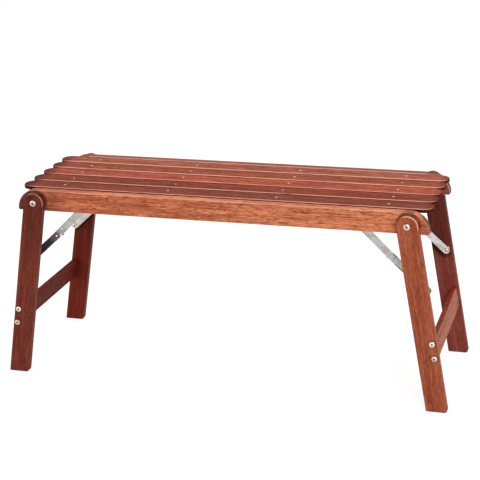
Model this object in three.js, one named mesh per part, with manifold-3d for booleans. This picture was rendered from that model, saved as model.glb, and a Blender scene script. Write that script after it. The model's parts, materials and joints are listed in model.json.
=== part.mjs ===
// A folding slatted bench: two side rails carry five slats on four battens, a splayed leg frame
// hinges on the rails at each end, and a two-link stay braces each leg and folds up under the seat.
// Millimetres, +Z up. The origin lies on the floor under the middle of the seat, X runs along it.

import * as THREE from "three";
import { mergeVertices } from "three/addons/utils/BufferGeometryUtils.js";
import Module from "manifold-3d";

const wasm = await Module();
wasm.setup();

// Overall sizes
const seatHeight = 428;
const seatDepth = 340;
const pivotSpacing = 815;
const legSplay = 9.5;

// Clearances
const fitGap = 0.3;
const runningGap = 0.5;
const overrun = 5;

// Side rails
const railHeight = 46;
const railThickness = 20;
const railTopDrop = 1;
const railEase = 1.5;
const railHeelRadius = 3;
const railOverhang = 43.5;
const pivotRise = 21;

// Slats
const slatCount = 5;
const slatThickness = 9;
const slatGap = 6.25;
const slatOverhang = 2.5;
const slatEase = 2;
const slatEaseSteps = 2;
const slatScrewShank = 3.2;
const slatScrewHead = 5.8;

// Battens, at these shares of the slats' half length
const battenShares = [-0.7915, -0.2655, 0.2655, 0.7915];
const battenWidth = 35;
const battenThickness = 20;
const tenonLength = 10;
const tenonShoulder = 4;
const battenEase = 1;

// Legs. Each foot has one round corner and one that is only blunted.
const legWidth = 45;
const legThickness = 17;
const legEase = 1.5;
const footRoundCorner = 6;
const footBluntCorner = 2.5;

// Stretchers, measured along the leg from its pivot and inwards from the leg's outer edge
const stretcherDrop = 249;
const stretcherInset = 3.5;
const stretcherWidth = 45;
const stretcherThickness = 12;
const stretcherEase = 1.5;

// Pivot bolts and their nuts
const pivotShank = 8;
const pivotHead = 14;
const pivotHeadHeight = 3.2;
const pivotSocket = 5;
const nutAcrossFlats = 13;
const nutThickness = 6;
const boltTip = 1.5;

// Stretcher bolts, two side by side in each end of a stretcher
const stretcherShank = 6;
const stretcherHead = 12.5;
const stretcherHeadHeight = 3;
const stretcherSocket = 4;
const stretcherBoltSpacing = 32.5;
const stretcherBoltReach = 35;
const socketDepth = 1.8;
const headEdge = 0.8;

// Stays: where each is screwed to the leg, how steeply it rises, and where its knuckle lies
const stayLegDrop = 152.2;
const stayLegInset = 9.5;
const staySlope = 43.6;
const knuckleReach = 94.5;
const knuckleDrop = 2;
const linkWidth = 16;
const linkThickness = 1.6;
const linkOverlap = 0.5;
const linkStandOff = 1.8;
const bossDiameter = 14;
const beadWidth = 6;
const beadHeight = 0.8;
const beadEase = 0.4;
const grooveDepth = 0.6;
const beadInset = 14;
const beadKnuckleInset = 30;
const linkHoleDiameter = 4;
const linkHoleReach = 22;
const linkHoleRise = 1;
const notchDiameter = 5.4;
const notchReach = 8;
const notchDrop = 6.2;
const tailLength = 12;
const lugStart = 10.8;
const lugLength = 4;
const lugThickness = 1.6;
const lipStart = 8;
const lipHeight = 2.2;
const lipThickness = 1.2;

// Stay fasteners
const staySpindle = 5;
const stayScrewHead = 10;
const stayScrewHeadHeight = 2.6;
const railScrewReach = 14;
const rivetHead = 9;
const rivetHeadHeight = 0.9;
const spacerDiameter = 10;

// Fineness of round forms. An arc in an outline gets twice its steps as sides.
const bossSides = 24;
const roundSides = 16;
const holeSides = 12;
const cornerSteps = 2;
const linkSteps = 4;
const noseSteps = 7;
const domeSteps = 3;

const half = (value) => value / 2;
const radians = THREE.MathUtils.degToRad;

// Places that follow from the sizes. Depths are distances from the bench's upright middle plane.
const pivotX = half(pivotSpacing);
const railTop = seatHeight - railTopDrop;
const railBottom = railTop - railHeight;
const pivotHeight = railBottom + pivotRise;
const railHalf = pivotX + railOverhang;
const slatHalf = railHalf + slatOverhang;
const legOuter = half(seatDepth);
const legInner = legOuter - legThickness;
const railOuter = legInner - runningGap;
const railInner = railOuter - railThickness;
const slatWidth = (2 * railInner - (slatCount + 1) * slatGap) / slatCount;
const slatPitch = slatWidth + slatGap;
const slatBottom = seatHeight - slatThickness;
const battenTop = slatBottom - fitGap;
const battenMiddle = battenTop - half(battenThickness);
const splay = radians(legSplay);

// Depths of a stay's layers, from the rail's inner face towards the bench's middle
const upperOuter = railInner - linkStandOff;
const upperInner = upperOuter - linkThickness;
const lowerOuter = upperInner - fitGap;
const lowerInner = lowerOuter - linkThickness;

// The stay's four points at rest, in the plane X, Z of the right end
const splayDown = new THREE.Vector2(Math.sin(splay), -Math.cos(splay));
const splayOut = new THREE.Vector2(Math.cos(splay), Math.sin(splay));
const onLeg = (along, across) => new THREE.Vector2(pivotX, pivotHeight)
  .addScaledVector(splayDown, along)
  .addScaledVector(splayOut, across);
const legPoint = onLeg(stayLegDrop, half(legWidth) - stayLegInset);
const stayRise = railBottom + half(railHeight) - legPoint.y;
const railPoint = new THREE.Vector2(legPoint.x - stayRise / Math.tan(radians(staySlope)), legPoint.y + stayRise);
const stayLine = railPoint.clone().sub(legPoint).normalize();
const stayInward = new THREE.Vector2(-stayLine.y, stayLine.x);
const knuckle = legPoint.clone()
  .addScaledVector(stayLine, knuckleReach)
  .addScaledVector(stayInward, knuckleDrop);
const upperLength = railPoint.distanceTo(knuckle);
const lowerLength = legPoint.distanceTo(knuckle);
const directionOf = (from, to) => Math.atan2(to.y - from.y, to.x - from.x);
const upperAngle = directionOf(railPoint, knuckle);
const lowerAngle = directionOf(knuckle, legPoint);

// Colours and finishes
const finishes = {
  slatWood: { color: 0x96503c, roughness: 0.5, metalness: 0 },
  railWood: { color: 0xb8693f, roughness: 0.5, metalness: 0 },
  legWood: { color: 0x8f4432, roughness: 0.5, metalness: 0 },
  plainWood: { color: 0xa8603f, roughness: 0.6, metalness: 0 },
  stayMetal: { color: 0xbebeb9, roughness: 0.35, metalness: 1 },
  boltMetal: { color: 0xc8c8c2, roughness: 0.3, metalness: 1 },
};

// Merges a geometry's shared corners, so that it can be cut and joined as a solid.
function solid(geometry) {
  const bare = geometry.clone();
  bare.deleteAttribute("normal");
  bare.deleteAttribute("uv");
  const merged = mergeVertices(bare);
  const vertProperties = new Float32Array(merged.attributes.position.array);
  const triVerts = new Uint32Array(merged.index.array);
  return new wasm.Manifold(new wasm.Mesh({ numProp: 3, vertProperties, triVerts }));
}

// Turns a solid back into a geometry with flat faces.
function surface(body) {
  const mesh = body.getMesh();
  const geometry = new THREE.BufferGeometry();
  geometry.setAttribute("position", new THREE.BufferAttribute(new Float32Array(mesh.vertProperties), 3));
  geometry.setIndex(new THREE.BufferAttribute(new Uint32Array(mesh.triVerts), 1));
  const faceted = geometry.toNonIndexed();
  faceted.computeVertexNormals();
  return faceted;
}

// Joins the added forms to the first one, then takes the cut forms away.
function carve(base, cuts, joins = []) {
  const joined = joins.reduce((body, form) => body.add(solid(form)), solid(base));
  return surface(cuts.reduce((body, form) => body.subtract(solid(form)), joined));
}

function piece(name, geometry, finish) {
  const mesh = new THREE.Mesh(geometry, new THREE.MeshStandardMaterial(finishes[finish]));
  mesh.name = name;
  return mesh;
}

// An outline in X, Z made solid between two depths along Y, with its edges eased.
function plate(outline, start, end, arcSteps, ease = 0, easeSteps = 1) {
  const geometry = new THREE.ExtrudeGeometry(outline, {
    depth: end - start - 2 * ease,
    bevelEnabled: ease > 0,
    bevelThickness: ease,
    bevelSize: ease,
    bevelOffset: -ease,
    bevelSegments: easeSteps,
    curveSegments: arcSteps,
  });
  return geometry.rotateX(Math.PI / 2).translate(0, end - ease, 0);
}

// A plate that lies between two depths on the front (-1) or back (+1) side.
function sidePlate(side, outline, depthA, depthB, arcSteps, ease = 0, easeSteps = 1) {
  const ends = [side * depthA, side * depthB];
  return plate(outline, Math.min(...ends), Math.max(...ends), arcSteps, ease, easeSteps);
}

// A round bar along Y between two depths on one side.
function rod(side, diameter, depthA, depthB, x = 0, z = 0, sides = roundSides) {
  const length = Math.abs(depthB - depthA);
  const geometry = new THREE.CylinderGeometry(half(diameter), half(diameter), length, sides);
  return geometry.translate(x, side * half(depthA + depthB), z);
}

function box(x0, x1, y0, y1, z0, z1) {
  const geometry = new THREE.BoxGeometry(x1 - x0, y1 - y0, z1 - z0);
  return geometry.translate(half(x0 + x1), half(y0 + y1), half(z0 + z1));
}

// A closed outline through corners [x, z, radius], each rounded with an arc that is tangent to both sides.
function roundedOutline(corners) {
  const outline = new THREE.Shape();
  corners.forEach(([x, z, radius], index) => {
    const here = new THREE.Vector2(x, z);
    const before = new THREE.Vector2(...corners.at(index - 1)).sub(here).normalize();
    const after = new THREE.Vector2(...corners[(index + 1) % corners.length]).sub(here).normalize();
    const halfAngle = half(Math.acos(before.dot(after)));
    const reach = radius / Math.tan(halfAngle);
    const middle = before.clone().add(after).normalize();
    const centre = here.clone().addScaledVector(middle, radius / Math.sin(halfAngle));
    const first = here.clone().addScaledVector(before, reach);
    const last = here.clone().addScaledVector(after, reach);
    const clockwise = before.cross(after) > 0;
    if (index === 0) outline.moveTo(first.x, first.y);
    else outline.lineTo(first.x, first.y);
    if (radius > 0) {
      outline.absarc(centre.x, centre.y, radius, directionOf(centre, first), directionOf(centre, last), clockwise);
    }
  });
  outline.closePath();
  return outline;
}

function rectangle(x0, x1, z0, z1, radius = 0) {
  return roundedOutline([[x0, z0, radius], [x1, z0, radius], [x1, z1, radius], [x0, z1, radius]]);
}

// A bar with half-round ends about x0 and x1 on the X axis.
function stadium(x0, x1, width) {
  const radius = half(width);
  const outline = new THREE.Shape();
  outline.absarc(x1, 0, radius, -Math.PI / 2, Math.PI / 2, false);
  outline.absarc(x0, 0, radius, Math.PI / 2, 1.5 * Math.PI, false);
  outline.closePath();
  return outline;
}

// Slats: long boards with eased edges and half-round ends, and a countersunk hole over each batten.
function slatHole(x) {
  const top = slatThickness;
  const sink = half(slatScrewHead - slatScrewShank);
  const bore = new THREE.CylinderGeometry(half(slatScrewShank), half(slatScrewShank), top + 2 * overrun, holeSides);
  const cone = new THREE.CylinderGeometry(half(slatScrewHead), half(slatScrewShank), sink, holeSides);
  return [bore, cone.translate(0, half(top - sink), 0)].map((form) => (
    form.rotateX(Math.PI / 2).translate(x, 0, half(top))
  ));
}

function slat(number) {
  const endMiddle = slatHalf - half(slatWidth);
  const outline = stadium(-endMiddle, endMiddle, slatWidth);
  const board = plate(outline, 0, slatThickness, noseSteps, slatEase, slatEaseSteps)
    .rotateX(-Math.PI / 2)
    .translate(0, 0, slatThickness);
  const holes = battenShares.flatMap((share) => slatHole(share * slatHalf));
  const mesh = piece(`slat_${number}`, carve(board, holes), "slatWood");
  const step = number - half(slatCount + 1);
  mesh.position.set(0, step * slatPitch, slatBottom);
  return mesh;
}

// Battens: cross bars under the slats, with a stub tenon in each rail.
function tenonSection(x, gap) {
  const wide = half(battenWidth) - tenonShoulder + gap;
  const high = half(battenThickness) - tenonShoulder + gap;
  return [x - wide, x + wide, battenMiddle - high, battenMiddle + high];
}

function batten(number, x) {
  const reach = railInner - fitGap;
  const outline = rectangle(-half(battenWidth), half(battenWidth), -half(battenThickness), half(battenThickness));
  const [x0, x1, z0, z1] = tenonSection(0, 0);
  const tenons = box(x0, x1, -railInner - tenonLength, railInner + tenonLength, z0 - battenMiddle, z1 - battenMiddle);
  const bar = plate(outline, -reach, reach, cornerSteps, battenEase);
  const mesh = piece(`batten_${number}`, carve(bar, [], [tenons]), "plainWood");
  mesh.position.set(x, 0, battenMiddle);
  return mesh;
}

// Side rails: boards on edge, each end a quarter-round nose above a small round heel.
function rail(side, name) {
  const noseRadius = railHeight - railHeelRadius;
  const outline = roundedOutline([
    [-railHalf, railBottom, railHeelRadius],
    [railHalf, railBottom, railHeelRadius],
    [railHalf, railTop, noseRadius],
    [-railHalf, railTop, noseRadius],
  ]);
  const board = sidePlate(side, outline, railInner, railOuter, noseSteps, railEase);
  const mortises = battenShares.map((share) => {
    const [x0, x1, z0, z1] = tenonSection(share * slatHalf, fitGap);
    const ends = [side * (railInner - overrun), side * (railInner + tenonLength + fitGap)];
    return box(x0, x1, Math.min(...ends), Math.max(...ends), z0, z1);
  });
  const bores = [-1, 1].flatMap((end) => [
    rod(side, pivotShank + 2 * fitGap, railInner - overrun, railOuter + overrun, end * pivotX, pivotHeight),
    rod(side, staySpindle + 2 * fitGap, railInner - overrun, railInner + railScrewReach + fitGap,
      end * railPoint.x, railPoint.y),
  ]);
  return piece(name, carve(board, [...mortises, ...bores]), "railWood");
}

// Legs: boards with a round top about the pivot and a foot cut level with the floor.
// Their own Z runs up the leg from the pivot, and X points outward. Seen from the front, the round
// corner of every foot is on its right.
function legOutline(turned) {
  const radius = half(legWidth);
  const floorAt = (across) => -(pivotHeight + across * Math.sin(splay)) / Math.cos(splay);
  const outline = roundedOutline([
    [radius, 0, 0],
    [radius, floorAt(radius), turned ? footBluntCorner : footRoundCorner],
    [-radius, floorAt(-radius), turned ? footRoundCorner : footBluntCorner],
    [-radius, 0, 0],
  ].reverse());
  const top = new THREE.Shape();
  const points = outline.getPoints(cornerSteps);
  top.setFromPoints(points.slice(0, -1));
  top.absarc(0, 0, radius, 0, Math.PI, false);
  return top;
}

const boltRows = [-1, 1].map((row) => stretcherDrop + half(stretcherWidth) + row * half(stretcherBoltSpacing));
const stretcherAcross = half(legWidth) - stretcherInset - half(stretcherThickness);

function leg(side, name, turned) {
  const board = sidePlate(side, legOutline(turned), legInner, legOuter, noseSteps, legEase);
  const through = [legInner - overrun, legOuter + overrun];
  const bores = [
    rod(side, pivotShank + 2 * fitGap, ...through),
    ...boltRows.map((along) => rod(side, stretcherShank + 2 * fitGap, ...through, stretcherAcross, -along)),
  ];
  return piece(name, carve(board, bores), "legWood");
}

// Stretchers: cross boards between two legs, set in a little from the legs' outer edges.
function stretcher(name) {
  const reach = legInner - fitGap;
  const outline = rectangle(stretcherAcross - half(stretcherThickness), stretcherAcross + half(stretcherThickness),
    -stretcherDrop - stretcherWidth, -stretcherDrop, stretcherEase);
  const board = plate(outline, -reach, reach, cornerSteps);
  const deepest = reach - stretcherBoltReach - fitGap;
  const bores = [-1, 1].flatMap((side) => boltRows.map((along) => (
    rod(side, stretcherShank + 2 * fitGap, deepest, reach + overrun, stretcherAcross, -along)
  )));
  return piece(name, carve(board, bores), "legWood");
}

// A headed pin along Y, turned from a profile: its head faces -Y on the front side, +Y on the back side.
// The head's underside lies at y = 0 and the shank runs the given length the other way.
function headedPin(shank, length, head, headHeight, socket) {
  const rise = headHeight - headEdge;
  const profile = [
    new THREE.Vector2(0, -length),
    new THREE.Vector2(half(shank), -length),
    new THREE.Vector2(half(shank), 0),
    new THREE.Vector2(half(head), 0),
  ];
  for (let step = 0; step <= domeSteps; step += 1) {
    const turn = (step / domeSteps) * Math.PI / 2;
    profile.push(new THREE.Vector2(half(head) * Math.cos(turn), headEdge + rise * Math.sin(turn)));
  }
  profile.at(-1).x = 0;
  const turned = new THREE.LatheGeometry(profile, roundSides);
  if (!socket) return surface(solid(turned));
  const recess = new THREE.CylinderGeometry(socket / Math.sqrt(3), socket / Math.sqrt(3), 2 * socketDepth, 6);
  return carve(turned, [recess.translate(0, headHeight, 0)]);
}

function placeOnSide(mesh, side, x, depth, z) {
  mesh.rotation.z = side < 0 ? Math.PI : 0;
  mesh.position.set(x, side * depth, z);
  return mesh;
}

function pivotBolt(side, name) {
  const seat = legOuter + fitGap;
  const length = seat - railInner + fitGap + nutThickness + boltTip;
  const geometry = headedPin(pivotShank, length, pivotHead, pivotHeadHeight, pivotSocket);
  return placeOnSide(piece(name, geometry, "boltMetal"), side, pivotX, seat, pivotHeight);
}

function pivotNut(side, name) {
  const corner = nutAcrossFlats / Math.sqrt(3);
  const body = new THREE.CylinderGeometry(corner, corner, nutThickness, 6);
  const bore = new THREE.CylinderGeometry(half(pivotShank) + fitGap, half(pivotShank) + fitGap,
    nutThickness + 2 * overrun, roundSides);
  const mesh = piece(name, carve(body, [bore]), "boltMetal");
  return placeOnSide(mesh, side, pivotX, railInner - fitGap - half(nutThickness), pivotHeight);
}

function stretcherBolt(side, name, along) {
  const seat = legOuter + fitGap;
  const length = seat - legInner + fitGap + stretcherBoltReach;
  const geometry = headedPin(stretcherShank, length, stretcherHead, stretcherHeadHeight, stretcherSocket);
  return placeOnSide(piece(name, geometry, "boltMetal"), side, stretcherAcross, seat, -along);
}

// Stay links: flat bars with half-round ends and a pressed bead. Each link's X runs along it from its
// upper pivot to its lower one. The lower link has a lip along its lower edge, and a lug on its tail
// that stops the upper link when the stay is open. The left end's links are pierced: both are notched
// just above the lug, and the upper one has a hole above the knuckle.
function linkBore(side, diameter, x, z = 0) {
  return rod(side, diameter, lowerInner - overrun, railInner + overrun, x, z);
}

function spindleBore(side, x) {
  return linkBore(side, staySpindle + 2 * fitGap, x);
}

function upperLink(side, name, pierced) {
  const bar = sidePlate(side, stadium(0, upperLength, linkWidth), upperInner, upperOuter, linkSteps);
  const boss = rod(side, bossDiameter, upperOuter - linkOverlap, railInner - fitGap, 0, 0, bossSides);
  const ridge = stadium(beadInset, upperLength - beadKnuckleInset, beadWidth);
  const bead = sidePlate(side, ridge, upperOuter - linkOverlap, upperOuter + beadHeight, cornerSteps, beadEase);
  const groove = sidePlate(side, ridge, upperInner - overrun, upperInner + grooveDepth, cornerSteps);
  const bores = [spindleBore(side, 0), spindleBore(side, upperLength)];
  if (pierced) {
    bores.push(linkBore(side, linkHoleDiameter, upperLength - linkHoleReach, linkHoleRise));
    bores.push(linkBore(side, notchDiameter, upperLength - notchReach, -notchDrop));
  }
  const geometry = carve(bar, [groove, ...bores], [boss, bead]);
  const mesh = piece(name, geometry, "stayMetal");
  mesh.rotation.y = -upperAngle;
  mesh.position.set(railPoint.x, 0, railPoint.y);
  return mesh;
}

function lowerLink(side, name, pierced) {
  const bar = sidePlate(side, stadium(-tailLength, lowerLength, linkWidth), lowerInner, lowerOuter, linkSteps);
  const ridge = stadium(beadInset, lowerLength - beadInset, beadWidth);
  const bead = sidePlate(side, ridge, lowerInner - beadHeight, lowerInner + linkOverlap, cornerSteps, beadEase);
  const groove = sidePlate(side, ridge, lowerOuter - grooveDepth, lowerOuter + overrun, cornerSteps);
  const edge = half(linkWidth) + fitGap;
  const lean = upperAngle - lowerAngle;
  const lugSpan = [-lugStart - lugLength, -lugStart];
  const foot = sidePlate(side, rectangle(...lugSpan, -edge - lugThickness, -half(linkWidth) + lugThickness),
    lowerInner, lowerOuter, cornerSteps);
  const upright = sidePlate(side, rectangle(...lugSpan, -edge - lugThickness, -edge), lowerInner, upperOuter,
    cornerSteps);
  const lug = [foot, upright].map((form) => form.rotateY(-lean));
  const lipOutline = rectangle(lipStart, lowerLength, -half(linkWidth), lipThickness - half(linkWidth));
  const lip = sidePlate(side, lipOutline, lowerOuter - linkOverlap, lowerOuter + lipHeight, cornerSteps);
  const bores = [spindleBore(side, 0), spindleBore(side, lowerLength)];
  if (pierced) {
    bores.push(linkBore(side, notchDiameter, -notchReach, -notchDrop).rotateY(-lean));
  }
  const mesh = piece(name, carve(bar, [groove, ...bores], [bead, lip, ...lug]), "stayMetal");
  mesh.rotation.y = -lowerAngle;
  mesh.position.set(knuckle.x, 0, knuckle.y);
  return mesh;
}

// Knuckle rivets: a pin through both links with a low head on either side.
function knuckleRivet(side, name) {
  const outer = upperOuter + fitGap;
  const inner = lowerInner - fitGap;
  const shank = rod(side, staySpindle, inner, outer);
  const heads = [
    rod(side, rivetHead, outer, outer + rivetHeadHeight),
    rod(side, rivetHead, inner - rivetHeadHeight, inner),
  ];
  const mesh = piece(name, carve(shank, [], heads), "boltMetal");
  mesh.position.set(knuckle.x, 0, knuckle.y);
  return mesh;
}

function stayScrew(side, name, point, seat, tip, socket) {
  const geometry = headedPin(staySpindle, tip - seat, stayScrewHead, stayScrewHeadHeight, socket);
  return placeOnSide(piece(name, geometry, "boltMetal"), -side, point.x, -seat, point.y);
}

function legSpacer(side, name) {
  const depths = [lowerOuter + fitGap, legInner - fitGap];
  const tube = rod(side, spacerDiameter, ...depths);
  const bore = rod(side, staySpindle + 2 * fitGap, depths[0] - overrun, depths[1] + overrun);
  const mesh = piece(name, carve(tube, [bore]), "boltMetal");
  mesh.position.set(legPoint.x, 0, legPoint.y);
  return mesh;
}

// One end of the bench, drawn as the right end. The left end is the same, turned half round.
function benchEnd(endName, turned) {
  const end = new THREE.Group();
  const frame = new THREE.Group();
  frame.position.set(pivotX, 0, pivotHeight);
  frame.rotation.y = -splay;
  frame.add(stretcher(`${endName}_stretcher`));
  for (const side of [-1, 1]) {
    const faces = turned ? -side : side;
    const corner = `${endName}_${faces < 0 ? "front" : "back"}`;
    frame.add(leg(side, `${corner}_leg`, turned));
    frame.add(stretcherBolt(side, `${corner}_stretcher_bolt_upper`, boltRows[0]));
    frame.add(stretcherBolt(side, `${corner}_stretcher_bolt_lower`, boltRows[1]));
    end.add(pivotBolt(side, `${corner}_pivot_bolt`));
    end.add(pivotNut(side, `${corner}_pivot_nut`));
    end.add(upperLink(side, `${corner}_upper_link`, turned));
    end.add(lowerLink(side, `${corner}_lower_link`, turned));
    end.add(knuckleRivet(side, `${corner}_knuckle_rivet`));
    end.add(stayScrew(side, `${corner}_rail_screw`, railPoint, upperInner - fitGap, railInner + railScrewReach));
    end.add(stayScrew(side, `${corner}_leg_screw`, legPoint, lowerInner - fitGap, legInner - fitGap));
    end.add(legSpacer(side, `${corner}_spacer`));
  }
  end.add(frame);
  end.rotation.z = turned ? Math.PI : 0;
  return end;
}

const bench = new THREE.Group();
for (let number = 1; number <= slatCount; number += 1) {
  bench.add(slat(number));
}
battenShares.forEach((share, index) => bench.add(batten(index + 1, share * slatHalf)));
bench.add(rail(-1, "front_rail"));
bench.add(rail(1, "back_rail"));
bench.add(benchEnd("right", false));
bench.add(benchEnd("left", true));

export default bench;
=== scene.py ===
"""Looks of the folding slatted bench: every board, stay and fastener of the frame is remade with
eased edges and turned heads, in oiled reddish hardwood and plated steel. Metres, +Z up."""
import json
import math

import bmesh
import bpy
import numpy as np
from mathutils import Matrix, Vector
from mathutils.geometry import delaunay_2d_cdt


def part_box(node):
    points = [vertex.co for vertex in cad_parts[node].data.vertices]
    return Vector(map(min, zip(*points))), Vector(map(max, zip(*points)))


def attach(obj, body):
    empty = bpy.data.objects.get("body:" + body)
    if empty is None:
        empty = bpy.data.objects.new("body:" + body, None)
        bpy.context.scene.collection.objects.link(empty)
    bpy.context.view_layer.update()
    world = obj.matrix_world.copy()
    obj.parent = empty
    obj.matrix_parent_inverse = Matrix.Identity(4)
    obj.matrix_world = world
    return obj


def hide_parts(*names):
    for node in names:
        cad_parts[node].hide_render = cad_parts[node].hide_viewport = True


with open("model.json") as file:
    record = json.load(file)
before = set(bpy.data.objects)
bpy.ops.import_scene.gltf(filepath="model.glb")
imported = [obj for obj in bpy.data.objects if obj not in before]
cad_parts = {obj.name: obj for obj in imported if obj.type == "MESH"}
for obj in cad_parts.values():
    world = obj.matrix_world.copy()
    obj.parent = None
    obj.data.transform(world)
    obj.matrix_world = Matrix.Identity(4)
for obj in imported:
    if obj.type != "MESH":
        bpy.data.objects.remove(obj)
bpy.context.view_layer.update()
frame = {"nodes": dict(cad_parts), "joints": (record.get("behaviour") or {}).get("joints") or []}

MM = 0.001
ENDS = {"left": -1, "right": 1}
SIDES = {"front": -1, "back": 1}
CORNERS = [
    (end_name, f"{end_name}_{side_name}", end, side)
    for end_name, end in ENDS.items() for side_name, side in SIDES.items()
]

# Places and sizes read from the frame
JOINTS = {joint["name"]: Vector(joint["pos_m"]) for joint in frame["joints"]}
PIVOT = JOINTS["right_leg_fold"]
STAY_TOP = JOINTS["right_front_stay_swing"]
KNUCKLE = JOINTS["right_front_knuckle_bend"]
SCREW_LOW, SCREW_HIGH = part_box("right_front_leg_screw")
STAY_FOOT = (SCREW_LOW + SCREW_HIGH) / 2
RAIL_LOW, RAIL_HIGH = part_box("back_rail")
LEG_LOW, LEG_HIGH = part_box("right_back_leg")
SLAT_NAMES = sorted(name for name in frame["nodes"] if name.startswith("slat_"))
BATTEN_NAMES = sorted(name for name in frame["nodes"] if name.startswith("batten_"))

# Boards
SPLAY = math.radians(9.5)
LEG_WIDTH = 45 * MM
LEG_EASE = 2.0 * MM
FOOT_ROUND_CORNER = 6.4 * MM
FOOT_BLUNT_CORNER = 2.7 * MM
FLOOR_CLEARANCE = 0.05 * MM
RAIL_EASE = 2.0 * MM
RAIL_HEEL = 3 * MM
SLAT_EASE = 2.4 * MM
BATTEN_EASE = 1.2 * MM
STRETCHER_DROP = 249 * MM
STRETCHER_INSET = 3.5 * MM
STRETCHER_WIDTH = 45 * MM
STRETCHER_THICKNESS = 12 * MM
STRETCHER_CORNER = 2.2 * MM
STRETCHER_END_EASE = 0.6 * MM
FLAT_MARGIN = 0.6 * MM
THIN_MARGIN = 0.1 * MM
EASE_STEPS = 5
CORNER_STEPS = 8
LEG_CORNER_STEPS = 16
NOSE_STEPS = 22
THIN_STEPS = 3
NOTCH_STEPS = 14
MERGE_WITHIN = 1e-5  # in millimetres
WELD = 0.004 * MM
SHARP_ANGLE = math.radians(34)

# Bolts, nuts and screws
PIVOT_SHANK = 4 * MM
PIVOT_HEAD = 7 * MM
PIVOT_HEAD_HEIGHT = 2.9 * MM
PIVOT_SOCKET = 2.9 * MM
STRETCHER_SHANK = 3 * MM
STRETCHER_HEAD = 6.25 * MM
STRETCHER_HEAD_HEIGHT = 2.8 * MM
STRETCHER_SOCKET = 2.3 * MM
STRETCHER_BOLT_SPACING = 32.5 * MM
STRETCHER_BOLT_REACH = 35 * MM
SOCKET_DEPTH = 1.1 * MM
HEAD_EDGE = 0.8 * MM
BORE_GAP = 0.3 * MM
PIVOT_BORE = PIVOT_SHANK + BORE_GAP
STRETCHER_BORE = STRETCHER_SHANK + BORE_GAP
NUT_FLATS = 13 * MM
NUT_HEIGHT = 6 * MM
BOLT_TIP = 1.5 * MM
DOME_STEPS = 8
SLAT_SCREW_HEAD = 2.9 * MM
SLAT_SCREW_RIM = 0.96 * SLAT_SCREW_HEAD
SLAT_SCREW_FLAT = 0.93 * SLAT_SCREW_HEAD
SLAT_SCREW_SHANK = 1.6 * MM
SLAT_SCREW_CORE = 0.9 * SLAT_SCREW_SHANK
SLAT_SCREW_LENGTH = 22 * MM
SLAT_SCREW_TIP = 3 * MM
SLAT_SCREW_SINK = 0.05 * MM
SLAT_SCREW_EDGE = 0.12 * MM
SLAT_RECESS_RIM = (1.75 * MM, 0.02 * MM)
SLAT_RECESS_MOUTH = 1.6 * MM
SLAT_RECESS_FOOT = (1.1 * MM, -1.1 * MM)
SLAT_RECESS_DEPTH = 1.5 * MM
TURNED_SIDES = 48
HOLE_SIDES = 24
# Shares of a bolt's shank, of its head's radius and of its socket's radius
TIP_CHAMFER = 0.2
HEAD_CHAMFER = 0.015
SOCKET_RIM = 1.14
SOCKET_LIP, SOCKET_LIP_DROP = 1.04, 0.05
SOCKET_START = 0.16
SOCKET_POINT = 0.3
# Shares of a nut's corner, of half its flats and of its bore, and of a cross recess's long arm
NUT_CHAMFER = 0.1
NUT_FACE = 0.97
BORE_CHAMFER = 0.12
RECESS_WAIST = 0.36

# Stays
LINK_WIDTH = 16 * MM
LINK_THICKNESS = 1.6 * MM
LINK_STAND_OFF = 1.8 * MM
LINK_EASE = 0.3 * MM
PIECE_GAP = 0.3 * MM
BOSS_RADIUS = 7 * MM
BEAD_WIDTH = 6 * MM
BEAD_HEIGHT = 0.4 * MM
BEAD_SLOPE = 2.2 * MM
BEAD_INSET = 14 * MM
BEAD_KNUCKLE_INSET = 30 * MM
BEAD_STEPS = 5
LINK_HOLE = (22 * MM, 1 * MM, 2 * MM)  # its reach from the knuckle, its rise and its radius
NOTCH_REACH = 8 * MM
NOTCH_DROP = 6.2 * MM
NOTCH_RADIUS = 2.7 * MM
TAIL_LENGTH = 12 * MM
LUG_START = 10.8 * MM
LUG_LENGTH = 4 * MM
LUG_THICKNESS = 1.6 * MM
LIP_START = 8 * MM
LIP_HEIGHT = 2.2 * MM
LIP_THICKNESS = 1.2 * MM
SPINDLE = 2.5 * MM
SPINDLE_BORE = SPINDLE + BORE_GAP
STAY_HEAD = 5 * MM
STAY_HEAD_HEIGHT = 2.6 * MM
STAY_SOCKET = 1.9 * MM
RIVET_HEAD = 4.5 * MM
RIVET_HEAD_HEIGHT = 0.9 * MM
# Shares (radius, height) of a rivet's head: behind the links, round the button, and the button
RIVET_BACK = ((0, -1), (0.6, -1), (0.9, -0.7), (1, 0))
RIVET_RING = ((1, 0), (0.94, 0.35), (0.56, 0.4))
RIVET_BUTTON = ((0.56, 0.4), (0.504, 0.8), (0.28, 1), (0, 1))
SPACER_RADIUS = 5 * MM
SPACER_EDGE = 0.3 * MM
RAIL_SCREW_REACH = 14 * MM

# Depths of a stay's layers, measured from the bench's upright middle plane
LEG_INNER, LEG_OUTER = LEG_LOW.y, LEG_HIGH.y
RAIL_INNER, RAIL_OUTER = RAIL_LOW.y, RAIL_HIGH.y
UPPER_OUTER = RAIL_INNER - LINK_STAND_OFF
UPPER_INNER = UPPER_OUTER - LINK_THICKNESS
LOWER_OUTER = UPPER_INNER - PIECE_GAP
LOWER_INNER = LOWER_OUTER - LINK_THICKNESS

# Wood: the lengths of its markings along the grain and across it, in metres
WAVES = (0.35, 0.07)
DRIFTS = (0.24, 0.014)
STREAKS = (0.06, 0.0038)
DASHES = (0.024, 0.003)
LINES = (0.19, 0.0034)
PORES = (0.011, 0.0016)
WEAR_AND_HIGHLIGHT_PATCHES = (0.06, 0.02)
GLOSS_PATCHES = (0.09, 0.012)
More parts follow.
